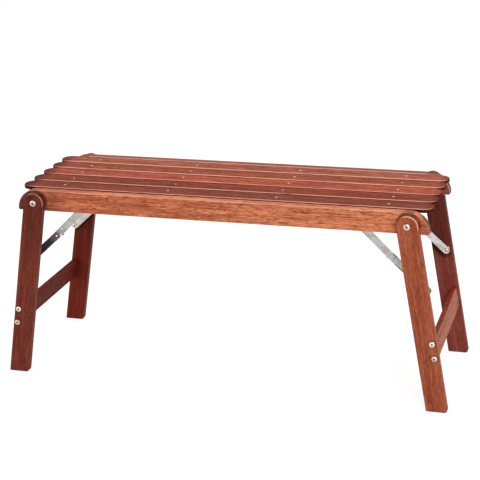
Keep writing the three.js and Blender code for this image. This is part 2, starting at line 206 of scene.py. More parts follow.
# How far waves push the grain, how ragged streaks and dashes are, the pores' depth, the tone of
# worn edges with a painted highlight, the turns that bring the grain onto X, the steps of a seed,
# and the row of painted shadow spots along a stay
GRAIN_DRIFT = 0.012
FRAYED = 0.62
PORE_DEPTH = 0.12 * MM
WORN_HIGHLIGHT_TONE = (240, 174, 150)
GRAIN_ALONG_SEAT = (0, 0, 0)
GRAIN_ACROSS_SEAT = (0, 0, -math.pi / 2)
SEED_STEPS = (1.37, 0.73, 2.11)
SHADOW_SPOT_STEP = 9 * MM
SHADOW_SPOT_COUNT = 7

# Steel: the lengths and widths of its brushed lines and cloudy spots, in metres
LONG_BRUSH = (0.02, 0.0007)
BOLT_BRUSH = (0.003, 0.0008)
FINE_BRUSH = (0.002, 0.0008)
SOCKET_BRUSH = (0.002, 0.0006)
PLATING_CLOUDS = (0.016, 0.012)
BRUSH_DEPTH = 0.04 * MM
# Wood and steel: the difference in roughness between the dullest and the glossiest patches
GLOSS_SWING = 0.16


# ---------------- outlines and shells

def rounded_path(corners, steps=CORNER_STEPS):
    """Points and outward normals of a closed anticlockwise path through corners (u, v, radius).

    Each corner is an arc tangent to its two sides: its centre lies at
    corner - radius * (n1 + n2) / (1 + n1 . n2), and a point at centre + radius * normal, with the
    normal turned evenly from n1 to n2. A guard point on each straight side, close to the arc's end,
    keeps the side's own normal.
    """
    corners = np.array(corners, float)
    spots, radii = corners[:, :2], corners[:, 2]
    along = np.roll(spots, -1, 0) - spots
    along /= np.linalg.norm(along, axis=1)[:, None]
    leaving = np.stack([along[:, 1], -along[:, 0]], 1)
    coming = np.roll(leaving, 1, 0)
    centre = spots - radii[:, None] * (coming + leaving) / (1 + (coming * leaving).sum(1))[:, None]
    turn = np.arctan2(
        coming[:, 0] * leaving[:, 1] - coming[:, 1] * leaving[:, 0], (coming * leaving).sum(1)
    )
    share = np.linspace(0, 1, steps + 1)
    angle = np.arctan2(coming[:, 1], coming[:, 0])[:, None] + turn[:, None] * share
    normal = np.stack([np.cos(angle), np.sin(angle)], -1)
    point = centre[:, None] + radii[:, None, None] * normal
    side = np.linalg.norm(np.roll(point[:, 0], -1, 0) - point[:, -1], axis=1)
    reach = np.minimum(FLAT_MARGIN, side / 3)
    before = point[:, 0] - np.roll(along * reach[:, None], 1, 0)
    after = point[:, -1] + along * reach[:, None]
    points = np.concatenate([before[:, None], point, after[:, None]], 1).reshape(-1, 2)
    normals = np.concatenate([normal[:, :1], normal, normal[:, -1:]], 1).reshape(-1, 2)
    return points, normals


def box_path(u0, u1, v0, v1, radius=0.0, steps=CORNER_STEPS):
    """A rectangle's rounded path."""
    corners = [(u0, v0, radius), (u1, v0, radius), (u1, v1, radius), (u0, v1, radius)]
    return rounded_path(corners, steps)


def bar_path(start, end, width):
    """A bar's path with half-round ends about start and end on the u axis."""
    radius = width / 2
    return box_path(start - radius, end + radius, -radius, radius, radius)


def arc_path(u, v, radius, first, last, steps):
    """Points and outward normals of an arc between two angles. A clockwise arc is hollow, so its
    normals point at its middle."""
    angle = np.linspace(first, last, steps + 1)
    ray = np.stack([np.cos(angle), np.sin(angle)], -1)
    return np.array([u, v]) + radius * ray, ray if last > first else -ray


def notched_bar_path(start, end, width, notch_u, notch_v, notch_radius):
    """A bar's path with half-round ends and a round notch in its lower edge.

    The notch's mouth lies where its circle meets the edge, at the angle
    asin((width / 2 + notch_v) / notch_radius) below its middle. A corner of the mouth moves inwards
    along its mitre, (n1 + n2) / (1 + n1 . n2).
    """
    radius = width / 2
    mouth = -math.asin((radius + notch_v) / notch_radius)
    hollow, inwards = arc_path(notch_u, notch_v, notch_radius, math.pi - mouth, mouth, NOTCH_STEPS)
    down = np.array([0, -1.0])
    tips = inwards[[0, -1]]
    inwards[[0, -1]] = (tips + down) / (1 + tips @ down)[:, None]
    right, right_out = arc_path(end, 0, radius, -math.pi / 2, math.pi / 2, 2 * CORNER_STEPS)
    left, left_out = arc_path(start, 0, radius, math.pi / 2, 1.5 * math.pi, 2 * CORNER_STEPS)
    return np.concatenate([hollow, right, left]), np.concatenate([inwards, right_out, left_out])


def circle_path(u, v, radius, steps=TURNED_SIDES):
    """Points and outward normals of a circle, anticlockwise."""
    angle = np.linspace(0, 2 * np.pi, steps, endpoint=False)
    normal = np.stack([np.cos(angle), np.sin(angle)], -1)
    return np.array([u, v]) + radius * normal, normal


def eased_edge(low, high, ease, steps=EASE_STEPS, margin=FLAT_MARGIN):
    """Rows (inset, height, wear and highlight) from a board's lower face round its edge to its
    upper face.

    A quarter round has inset ease * (1 - sin a) and height ease * (1 - cos a) for a from 0 to 90
    degrees. A narrow flat row follows it on the face and on the wall.
    """
    turn = np.linspace(0, np.pi / 2, steps + 1)
    wall = min(margin, (high - low - 2 * ease) / 3)
    inset = np.concatenate([[ease + margin], ease * (1 - np.sin(turn)), [0]])
    height = np.concatenate([[0], ease * (1 - np.cos(turn)), [ease + wall]])
    wear = np.concatenate([[0], np.sin(2 * turn) ** 0.5, [0]])
    inset = np.concatenate([inset, inset[::-1]])
    height = np.concatenate([low + height, high - height[::-1]])
    return np.stack([inset, height, np.concatenate([wear, wear[::-1]])], 1)


def add_object(name, data):
    """A new object in the scene."""
    made = bpy.data.objects.new(name, data)
    bpy.context.scene.collection.objects.link(made)
    return made


class Shell:
    """Faces of one piece, gathered as arrays and welded where they meet."""

    def __init__(self):
        self.points, self.faces, self.wear, self.finish = [], [], [], []
        self.count = 0

    def add(self, points, faces, wear, finish=0):
        self.points.append(points)
        self.wear.append(np.broadcast_to(wear, len(points)))
        self.faces.append(np.asarray(faces) + self.count)
        self.finish.append(np.full(len(faces), finish))
        self.count += len(points)

    def join(self, other):
        """Takes in another shell's faces."""
        self.faces += [faces + self.count for faces in other.faces]
        self.points += other.points
        self.wear += other.wear
        self.finish += other.finish
        self.count += other.count

    def rings(self, rows, wear=0.0, finish=0):
        """A skin over closed rows of points: each face joins two neighbours on two rows."""
        rows = np.asarray(rows)
        count, around = rows.shape[:2]
        index = np.arange(count * around).reshape(count, around)
        ahead = np.roll(index, -1, 1)
        quads = np.stack([index[:-1], ahead[:-1], ahead[1:], index[1:]], -1).reshape(-1, 4)
        wear = np.broadcast_to(np.asarray(wear, float).reshape(-1, 1), (count, around)).reshape(-1)
        self.add(rows.reshape(-1, 3), quads, wear, finish)

    def wall(self, path, rows, finish=0):
        """An edge profile carried along a path: point - normal * inset, at each row's height."""
        points, normals = path
        flat = points[None] - normals[None] * rows[:, 0, None, None]
        high = np.broadcast_to(rows[:, 1, None, None], flat.shape[:2] + (1,))
        self.rings(np.concatenate([flat, high], -1), rows[:, 2], finish)
        return flat

    def face(self, height, outer, holes=(), finish=0):
        """A flat face at a height inside one loop and outside the convex holes."""
        loops = [outer, *holes]
        owner = np.concatenate([np.full(len(loop), number) for number, loop in enumerate(loops)])
        starts = np.cumsum([0] + [len(loop) for loop in loops[:-1]])
        sides = [
            np.stack([np.arange(len(loop)), np.roll(np.arange(len(loop)), -1)], 1) + start
            for loop, start in zip(loops, starts)
        ]
        spots = np.concatenate(loops) / MM
        found = delaunay_2d_cdt(spots.tolist(), np.concatenate(sides).tolist(), [], 1, MERGE_WITHIN)
        flat = np.array(found[0]) * MM
        source = np.array([first[0] if first else -1 for first in found[3]])
        triangles = np.array(found[2])
        owners = owner[source[triangles]]
        inside_hole = (owners[:, 0] > 0) & (owners == owners[:, :1]).all(1)
        points = np.concatenate([flat, np.full((len(flat), 1), height)], 1)
        self.add(points, triangles[~inside_hole], 0.0, finish)

    def placed(self, axes, origin):
        """The same shell with (u, v, w) turned into origin + u * U + v * V + w * W."""
        axes, origin = np.array(axes, float), np.array(origin, float)
        self.points = [points @ axes + origin for points in self.points]
        return self

    def piece(self, name, body, slot, finishes, stands_for=()):
        """Welds the shell into one smooth mesh object that rides on a body of the frame."""
        mesh = bpy.data.meshes.new(name)
        faces = [face for block in self.faces for face in block.tolist()]
        mesh.from_pydata(np.concatenate(self.points).tolist(), [], faces)
        mesh.polygons.foreach_set("material_index", np.concatenate(self.finish))
        mesh.attributes.new("wear", "FLOAT", "POINT").data.foreach_set(
            "value", np.concatenate(self.wear).astype(np.float32)
        )
        work = bmesh.new()
        work.from_mesh(mesh)
        bmesh.ops.remove_doubles(work, verts=work.verts, dist=WELD)
        bmesh.ops.dissolve_degenerate(work, dist=WELD, edges=work.edges)
        bmesh.ops.recalc_face_normals(work, faces=work.faces)
        work.to_mesh(mesh)
        work.free()
        mesh.polygons.foreach_set("use_smooth", np.ones(len(mesh.polygons), bool))
        mesh.set_sharp_from_angle(angle=SHARP_ANGLE)
        for finish in finishes:
            mesh.materials.append(finish)
        made = add_object(name, mesh)
        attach(made, body)
        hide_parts(*stands_for)

    def remade(self, name, body, slot, finishes):
        """The piece that takes the place of one of the frame's nodes."""
        self.piece(f"{name}_finished", body, slot, finishes, [name])


def upright(side=1):
    """Axes of a plate that stands in the X, Z plane, its depth counted outwards on that side."""
    return ((1, 0, 0), (0, 0, 1), (0, side, 0))


def tilted(end, side, angle):
    """Upright axes, the u axis turned by an angle in the X, Z plane, mirrored for the left end."""
    cos, sin = math.cos(angle), math.sin(angle)
    return ((end * cos, 0, sin), (-end * sin, 0, cos), (0, side, 0))


# ---------------- materials

def linear(red, green, blue):
    """An sRGB colour from 0 to 255 as linear light."""
    share = np.clip(np.array([red, green, blue]) / 255, 0, 1)
    light = np.where(share <= 0.04045, share / 12.92, ((share + 0.055) / 1.055) ** 2.4)
    return (*light.tolist(), 1.0)


def toned(tone, *shares):
    """A tone whose red, green and blue are each taken by a share, as linear light."""
    return linear(*(part * share for part, share in zip(tone, shares)))


def fill(tree, node, inputs):
    """Sets each input of a node to its value, or links it to another node's output."""
    for key, value in inputs.items():
        if isinstance(value, bpy.types.NodeSocket):
            tree.links.new(value, node.inputs[key])
        else:
            node.inputs[key].default_value = value


def add_node(tree, kind, inputs=None, **settings):
    made = tree.nodes.new(kind)
    for key, value in settings.items():
        setattr(made, key, value)
    fill(tree, made, inputs or {})
    return made


class Recipe:
    """A material's node tree, built by short calls."""

    def __init__(self, name):
        self.material = bpy.data.materials.new(name)
        self.material.use_nodes = True
        self.tree = self.material.node_tree
        self.shader = self.tree.nodes["Principled BSDF"]
        coordinates = self.node("ShaderNodeTexCoord")
        self.place = coordinates.outputs["Object"]
        self.facing = coordinates.outputs["Normal"]

    def node(self, kind, inputs=None, **settings):
        return add_node(self.tree, kind, inputs, **settings)

    def moved(self, vector, location=(0, 0, 0), rotation=(0, 0, 0), scale=(1, 1, 1)):
        inputs = {"Vector": vector, "Location": location, "Rotation": rotation, "Scale": scale}
        return self.node("ShaderNodeMapping", inputs).outputs["Vector"]

    def noise(self, vector, length, width, detail=2.0, roughness=0.5):
        """Noise whose grains are so long and wide, in metres; length runs along X."""
        drawn = self.moved(vector, scale=(1 / length, 1 / width, 1 / width))
        inputs = {"Vector": drawn, "Scale": 1.0, "Detail": detail, "Roughness": roughness}
        return self.node("ShaderNodeTexNoise", inputs).outputs["Fac"]

    def calculate(self, operation, *values):
        return self.node("ShaderNodeMath", dict(enumerate(values)), operation=operation).outputs[0]

    def sum(self, first, second):
        return self.calculate("ADD", first, second)

    def times(self, first, second):
        return self.calculate("MULTIPLY", first, second)

    def size(self, value):
        """A value without its sign."""
        return self.calculate("ABSOLUTE", value)

    def parts(self, vector):
        """A vector's x, y and z."""
        return self.node("ShaderNodeSeparateXYZ", {0: vector}).outputs

    def patchy(self, patches, roughness):
        """A roughness that patches between 0 and 1 raise and lower by up to GLOSS_SWING / 2."""
        return self.sum(self.times(patches, GLOSS_SWING), roughness - GLOSS_SWING / 2)

    def spread(self, value, low, high, to_low=0.0, to_high=1.0):
        """Smoothly from to_low where value is low to to_high where it is high."""
        inputs = {
            "Value": value, "From Min": low, "From Max": high, "To Min": to_low, "To Max": to_high,
        }
        made = self.node("ShaderNodeMapRange", inputs, interpolation_type="SMOOTHSTEP")
        return made.outputs["Result"]

    def mix(self, factor, first, second, blend="MIX"):
        inputs = {0: factor, 6: first, 7: second}
        return self.node("ShaderNodeMix", inputs, data_type="RGBA", blend_type=blend).outputs[2]

    def near(self, x, z, inner, outer, strength):
        """A spot about an axis along Y: strength within the inner radius, none beyond the outer."""
        flat = self.moved(self.place, location=(-x, 0, -z), scale=(1, 0, 1))
        distance = self.node("ShaderNodeVectorMath", {0: flat}, operation="LENGTH").outputs["Value"]
        return self.spread(distance, inner, outer, strength, 0.0)

    def attribute(self, name):
        return self.node("ShaderNodeAttribute", attribute_name=name).outputs["Fac"]

    def bump(self, height, strength, distance):
        inputs = {"Height": height, "Strength": strength, "Distance": distance}
        self.set(Normal=self.node("ShaderNodeBump", inputs).outputs["Normal"])

    def set(self, **values):
        named = {key.replace("_", " "): value for key, value in values.items()}
        fill(self.tree, self.shader, named)
        return self.material


def grain_along_leg(end):
    """The turn that brings a leg's length onto X."""
    return (0, math.pi / 2 + end * SPLAY, 0)


def oiled_wood(
    name, tone, grain, seed, streaks=0.6, dashes=0.6, worn_highlight=0.7, roughness=0.5, sheen=0.1, shade_and_stains=(),
    front_shadows=(), highlight_spot=None, front_highlight_and_shade=False, right_paling=0.0, top_shade_shares=None,
):
    """Oiled reddish hardwood in one tone: slow drifts, pale streaks, dark dashes and fine pores,
    all drawn out along the grain, and end grain darker.

    Eased edges are paler, partly from wear and partly as a painted highlight, either everywhere or
    near a spot (x, z, inner radius, outer radius, strength). Wood lit from the front keeps the
    painted highlight only on the upper part of its front edges, and its upright walls and back
    edges are darkened as painted shade. Dark spots of the same kind are painted shade, or a real
    mark such as a knot, and another such set are painted shadows that show only on faces towards
    the front. The wood can grow paler towards the right. The top face can keep given shares of its
    red, green and blue, as painted shade.
    """
    recipe = Recipe(name)
    dim, bright = toned(tone, 0.9, 0.83, 0.8), toned(tone, 1.08, 1.1, 1.1)
    pale, dark = toned(tone, 1.2, 1.34, 1.32), toned(tone, 0.7, 0.5, 0.44)
    deep = toned(tone, 0.4, 0.2, 0.18)
    start = recipe.moved(recipe.place, rotation=grain)
    start = recipe.moved(start, location=[seed * step for step in SEED_STEPS])
    push = recipe.calculate("SUBTRACT", recipe.noise(start, *WAVES, 1.0), 0.5)
    push = recipe.times(push, GRAIN_DRIFT)
    offset = recipe.node("ShaderNodeCombineXYZ", {"Y": push, "Z": push}).outputs[0]
    grained = recipe.node("ShaderNodeVectorMath", {0: start, 1: offset}, operation="ADD").outputs[0]

    drift = recipe.spread(recipe.noise(grained, *DRIFTS), 0.32, 0.68)
    colour = recipe.mix(drift, dim, bright)
    if right_paling:
        right = recipe.parts(recipe.place)[0]
        colour = recipe.mix(recipe.spread(right, -0.3, 0.36, 0.0, right_paling), colour, pale)
    streak = recipe.spread(recipe.noise(grained, *STREAKS, 3.0, FRAYED), 0.5, 0.66, 0.0, streaks)
    colour = recipe.mix(streak, colour, pale)
    dash = recipe.spread(recipe.noise(grained, *DASHES, 3.0, FRAYED), 0.5, 0.66, 0.0, dashes)
    colour = recipe.mix(dash, colour, dark)
    line = recipe.spread(recipe.noise(grained, *LINES, 1.0), 0.58, 0.7, 0.0, dashes)
    colour = recipe.mix(line, colour, dark)
    pores = recipe.spread(recipe.noise(grained, *PORES, 1.0), 0.54, 0.68, 0.0, 0.3 + 0.36 * dashes)
    colour = recipe.mix(pores, colour, deep)
    _, behind, above = recipe.parts(recipe.facing)
    # Painted shade: the top face keeps given shares of its colour
    if top_shade_shares:
        on_top = recipe.spread(above, 0.55, 0.85)
        colour = recipe.mix(on_top, colour, (*top_shade_shares, 1.0), "MULTIPLY")

    end_grain = recipe.size(recipe.parts(recipe.moved(recipe.facing, rotation=grain))[0])
    colour = recipe.mix(recipe.spread(end_grain, 0.35, 0.85, 0.0, 0.72), colour, deep)
    edge = recipe.attribute("wear")
    if front_highlight_and_shade:
        # Painted shade on the upright walls and on the back edges
        colour = recipe.mix(recipe.spread(recipe.size(behind), 0.72, 0.92, 0.0, 0.75), colour, deep)
        back_edge = recipe.times(edge, recipe.spread(behind, 0.1, 0.5, 0.0, 0.75))
        colour = recipe.mix(back_edge, colour, deep)
        # Painted highlight only on the upper part of the front edges
        edge = recipe.times(edge, recipe.spread(behind, -0.5, -0.1, 1.0, 0.0))
        edge = recipe.times(edge, recipe.spread(above, 0.28, 0.55))
    # Painted highlight: the pale edge is kept near a spot, such as the upper right of a leg's round
    # top
    if highlight_spot:
        edge = recipe.times(edge, recipe.sum(recipe.near(*highlight_spot), 0.2))
    # Eased edges grow paler, partly from wear and partly as a painted highlight
    worn_highlight_mask = recipe.times(edge, recipe.noise(start, *WEAR_AND_HIGHLIGHT_PATCHES))
    colour = recipe.mix(recipe.spread(worn_highlight_mask, 0.1, 0.42, 0.0, worn_highlight), colour, linear(*WORN_HIGHLIGHT_TONE))
    # Dark spots: painted shade, and real marks such as a knot
    for darkening in shade_and_stains:
        colour = recipe.mix(recipe.near(*darkening), colour, deep)
    # Painted shadows, shown only on faces towards the front
    if front_shadows:
        in_front = recipe.spread(behind, -0.6, -0.3, 1.0, 0.0)
        for darkening in front_shadows:
            colour = recipe.mix(recipe.times(recipe.near(*darkening), in_front), colour, deep)

    gloss = recipe.patchy(recipe.noise(grained, *GLOSS_PATCHES), roughness)
    gloss = recipe.sum(gloss, recipe.times(pores, 0.3))
    recipe.bump(recipe.times(recipe.sum(pores, dash), -1.0), 0.3, PORE_DEPTH)
    return recipe.set(Base_Color=colour, Roughness=gloss, Specular_IOR_Level=sheen)


def plated_steel(name, shade, roughness, brushed=LONG_BRUSH, darkening=0.14, metallic=1.0, spots=()):
    """Zinc-plated steel: fine brushed lines, cloudy spots in the plating and a duller tone in them.
    Spots are (shade, x, z, inner radius, outer radius, strength)."""
    recipe = Recipe(name)
    lines = recipe.noise(recipe.place, *brushed)
    clouds = recipe.noise(recipe.place, *PLATING_CLOUDS)
    body, dull = linear(*shade), toned(shade, 1 - darkening, 1 - darkening, 1 - darkening)
    colour = recipe.mix(recipe.spread(clouds, 0.42, 0.66), body, dull)
    colour = recipe.mix(recipe.spread(lines, 0.5, 0.72, 0.0, 0.5), colour, dull)
    for spot_shade, *spot in spots:
        colour = recipe.mix(recipe.near(*spot), colour, linear(*spot_shade))
    recipe.bump(lines, 0.15, BRUSH_DEPTH)
    gloss = recipe.patchy(clouds, roughness)
    return recipe.set(Base_Color=colour, Metallic=metallic, Roughness=gloss)


# Painted shade on the front left stay's steel round its knuckle
knuckle_shade = ((84, 70, 70), -KNUCKLE.x, KNUCKLE.z, 5 * MM, 15 * MM, 0.8)
# A lighter patch near the knuckle within that painted shade
knuckle_shade_easing = ((132, 114, 114), -KNUCKLE.x, KNUCKLE.z, 8 * MM, 26 * MM, 0.7)
# A lighter copy of the stay steel, as painted light, for the back stays
stay_lit_steel = plated_steel("stay_steel_painted_light", (216, 208, 206), 0.42)
# Two small dark spots on the upper edge near the knuckle
upper_edge_dark_spots = [
    ((56, 40, 44), KNUCKLE.x + along * MM, KNUCKLE.z + up * MM, 1.0 * MM, 3.2 * MM, 0.85)
    for along, up in ((0.5, 10.2), (4.5, 6.8))
]
stay_edge_spotted_steel = plated_steel("stay_steel_edge_spotted", (184, 183, 180), 0.42, spots=upper_edge_dark_spots)
stay_knuckle_shade_steel = plated_steel("stay_steel_knuckle_shade", (184, 182, 180), 0.42, spots=[knuckle_shade])
# Steel darkened as painted shade, for the front left lower link's outer face
stay_painted_shade_steel = plated_steel(
    "stay_steel_painted_shade", (74, 58, 58), 0.6, darkening=0.3, metallic=0.6, spots=[knuckle_shade_easing],
)
bolt_steel = plated_steel("bolt_steel_plated", (228, 214, 202), 0.3, BOLT_BRUSH, darkening=0.2)
# Bolt sockets darkened as painted shade in the recess
socket_shade_steel = plated_steel("bolt_socket_painted_shade", (146, 118, 98), 0.7, SOCKET_BRUSH, metallic=0.5)
rivet_steel = plated_steel("rivet_button_bright", (250, 242, 238), 0.35, FINE_BRUSH, darkening=0.06)
# The rivet's ring round its button, darkened as painted shade
rivet_ring_shade_steel = plated_steel("rivet_ring_painted_shade", (74, 58, 54), 0.6, SOCKET_BRUSH, metallic=0.5)
screw_steel = plated_steel("slat_screw_steel", (236, 196, 178), 0.4, FINE_BRUSH)


# ---------------- wooden pieces

def cone_sink(radius, head, low, high):
    """Rows (radius, height) of a through hole with a countersink at its upper rim."""
    return [(head, high), (radius, high - (head - radius)), (radius, low)]


def board(path, low, high, ease, holes=(), margin=FLAT_MARGIN):
    """A board with eased edges. A hole is (u, v, rows of (radius, height) from the upper face)."""
    shell = Shell()
    flat = shell.wall(path, eased_edge(low, high, ease, margin=margin))
    rims = []
    for u, v, rows in holes:
        rings = [circle_path(u, v, radius)[0] for radius, _ in rows]
        heights = [np.full((TURNED_SIDES, 1), height) for _, height in rows]
        shell.rings([np.concatenate(pair, 1) for pair in zip(rings, heights)])
        rims.append((rings[0], rings[-1]))
    shell.face(high, flat[-1], [rim[0] for rim in rims])
    shell.face(low, flat[0], [rim[1] for rim in rims])
    return shell


def straight_hole(u, v, radius, low, high):
    return (u, v, [(radius, high), (radius, low)])


batten_middles = [(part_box(name)[0].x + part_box(name)[1].x) / 2 for name in BATTEN_NAMES]

slat_tones = [(132, 62, 43), (138, 61, 41), (176, 84, 60), (158, 80, 56), (167, 92, 68)]
# How strongly each slat's eased edges pale, with wear and a painted highlight
slat_wear = [0.8, 0.86, 0.7, 1.0, 1.0]
# Painted shade on the slats' ends and, near the right end, on the front wall below the top edge
slat_end_shade = [
    (-453 * MM, 428 * MM, 8 * MM, 40 * MM, 0.7),
    (453 * MM, 428 * MM, 4 * MM, 22 * MM, 0.4),
    (430 * MM, 228 * MM, 189 * MM, 197 * MM, 0.75),
]
for number, name in enumerate(SLAT_NAMES):
    low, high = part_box(name)
    middle = (low.y + high.y) / 2
    path = box_path(low.x, high.x, low.y, high.y, (high.y - low.y) / 2, NOSE_STEPS)
    sink = cone_sink(SLAT_SCREW_SHANK, SLAT_SCREW_HEAD, low.z, high.z)
    holes = [(x, middle, sink) for x in batten_middles]
    shell = board(path, low.z, high.z, SLAT_EASE, holes)
    wood = oiled_wood(
        f"{name}_wood", slat_tones[number], GRAIN_ALONG_SEAT, 1.3 + 1.6 * number, streaks=0.9,
        dashes=0.85, worn_highlight=slat_wear[number], sheen=0.03, shade_and_stains=slat_end_shade, front_highlight_and_shade=True,
    )
    shell.remade(name, "seat", "slat_wood", [wood])

# Painted shade on the rails round the leg tops, on the noses, beside the left leg and above the
# right one; the small knot is the wood's own
leg_top_shade_rings = [(end * PIVOT.x, PIVOT.z, 23 * MM, 28 * MM, 0.75) for end in ENDS.values()]
left_nose_shade = (-PIVOT.x - 32 * MM, PIVOT.z, 24 * MM, 36 * MM, 0.75)
right_nose_shade = (PIVOT.x + 38 * MM, PIVOT.z, 12 * MM, 26 * MM, 0.36)
shade_beside_left_leg = (-PIVOT.x + 34 * MM, PIVOT.z, 8 * MM, 46 * MM, 0.32)
shade_above_right_leg = (PIVOT.x - 1 * MM, PIVOT.z + 25 * MM, 8 * MM, 22 * MM, 0.35)
small_knot = (-242 * MM, 416.5 * MM, 1.2 * MM, 4.4 * MM, 0.8)
rail_shade_and_knot = [*leg_top_shade_rings, left_nose_shade, right_nose_shade, shade_beside_left_leg, shade_above_right_leg, small_knot]
rail_woods = {
    "front": oiled_wood(
        "front_rail_wood", (204, 117, 83), GRAIN_ALONG_SEAT, 8.9, streaks=0.8, dashes=0.75,
        worn_highlight=0.5, shade_and_stains=rail_shade_and_knot, right_paling=0.45,
    ),
    "back": oiled_wood(
        "back_rail_wood", (150, 78, 58), GRAIN_ALONG_SEAT, 10.1, shade_and_stains=leg_top_shade_rings,
    ),
}
nose_radius = RAIL_HIGH.z - RAIL_LOW.z - RAIL_HEEL
rail_path = rounded_path([
    (RAIL_LOW.x, RAIL_LOW.z, RAIL_HEEL), (RAIL_HIGH.x, RAIL_LOW.z, RAIL_HEEL),
    (RAIL_HIGH.x, RAIL_HIGH.z, nose_radius), (RAIL_LOW.x, RAIL_HIGH.z, nose_radius),
], NOSE_STEPS)
rail_holes = [
    straight_hole(end * PIVOT.x, PIVOT.z, PIVOT_BORE, RAIL_INNER, RAIL_OUTER)
    for end in ENDS.values()
]
for side_name, side in SIDES.items():
    shell = board(rail_path, RAIL_INNER, RAIL_OUTER, RAIL_EASE, rail_holes)
    shell.placed(upright(side), (0, 0, 0))
    shell.remade(f"{side_name}_rail", "seat", "rail_wood", [rail_woods[side_name]])

batten_reach = RAIL_INNER - PIECE_GAP
for number, name in enumerate(BATTEN_NAMES):
    low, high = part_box(name)
    path = box_path(low.x, high.x, low.z, high.z, BATTEN_EASE)
    shell = board(path, -batten_reach, batten_reach, BATTEN_EASE / 3).placed(upright(), (0, 0, 0))
    wood = oiled_wood(
        f"{name}_wood", (168, 96, 66), GRAIN_ACROSS_SEAT, 12.5 + number, worn_highlight=0.4, roughness=0.6,
    )
    shell.remade(name, "seat", "batten_wood", [wood])


def floor_at(across):
    """Height, along a leg from its pivot, at which the leg meets the floor."""
    return -(PIVOT.z - FLOOR_CLEARANCE + across * math.sin(SPLAY)) / math.cos(SPLAY)


leg_half = LEG_WIDTH / 2


def leg_path(end):
    """A leg's outline with a half-round top. Seen from the front, the foot's rounder corner is on
    its right."""
    inner, outer = (FOOT_BLUNT_CORNER, FOOT_ROUND_CORNER)[::end]
    return rounded_path([
        (-leg_half, floor_at(-leg_half), inner), (leg_half, floor_at(leg_half), outer),
        (leg_half, leg_half, leg_half), (-leg_half, leg_half, leg_half),
    ], LEG_CORNER_STEPS)


bolt_rows = {
    "upper": STRETCHER_DROP + (STRETCHER_WIDTH - STRETCHER_BOLT_SPACING) / 2,
    "lower": STRETCHER_DROP + (STRETCHER_WIDTH + STRETCHER_BOLT_SPACING) / 2,
}
stretcher_across = leg_half - STRETCHER_INSET - STRETCHER_THICKNESS / 2
leg_tones = {
    "left_front": (126, 57, 43), "left_back": (120, 43, 28),
    "right_front": (164, 84, 58), "right_back": (136, 64, 52),
}
# Painted shade on the front left and back right legs, strongest near their tops
leg_painted_shade = {
    "left_front": [(-PIVOT.x, PIVOT.z - 20 * MM, 30 * MM, 150 * MM, 0.35)],
    "right_back": [(PIVOT.x + 5 * MM, PIVOT.z - 50 * MM, 50 * MM, 150 * MM, 0.55)],
}
stay_run = Vector((KNUCKLE.x - STAY_FOOT.x, 0, KNUCKLE.z - STAY_FOOT.z)).normalized()


def stay_shadow_spots(end, aside, up, inner, outer, strength):
    """Painted shadow of a stay on its leg: dark spots along the stay, from the stay's foot upwards,
    moved aside and up.
    """
    return [
        (
            end * (STAY_FOOT.x + step * SHADOW_SPOT_STEP * stay_run.x) + aside,
            STAY_FOOT.z + step * SHADOW_SPOT_STEP * stay_run.z + up, inner, outer, strength,
        )
        for step in range(SHADOW_SPOT_COUNT)
    ]


# Painted shadows of the back stays on their legs
stay_shadows = {
    "left_back": stay_shadow_spots(-1, -10 * MM, -11 * MM, 10.5 * MM, 14 * MM, 0.7),
    "right_back": stay_shadow_spots(1, -6 * MM, -11 * MM, 11 * MM, 18 * MM, 0.65),
}
stretcher_tones = {"left": (114, 44, 30), "right": (182, 112, 88)}
# Painted shade on the right stretcher's top face
stretcher_top_shade_shares = {"left": None, "right": (0.66, 0.26, 0.24)}


def leg_axes(end, side):
    """A leg's own u runs outwards, v up along the leg and w outwards in depth."""
    return tilted(end, side, SPLAY)


def leg_origin(end):
    return (end * PIVOT.x, 0, PIVOT.z)


def bolt_spots(end):
    """Places x, z of the three bolts through each leg of one end: the pivot's, then bolt_rows'."""
    across, up = leg_axes(end, 1)[:2]
    spots = [(end * PIVOT.x, PIVOT.z)]
    for along in bolt_rows.values():
        x = end * PIVOT.x + stretcher_across * across[0] - along * up[0]
        spots.append((x, PIVOT.z + stretcher_across * across[2] - along * up[2]))
    return spots


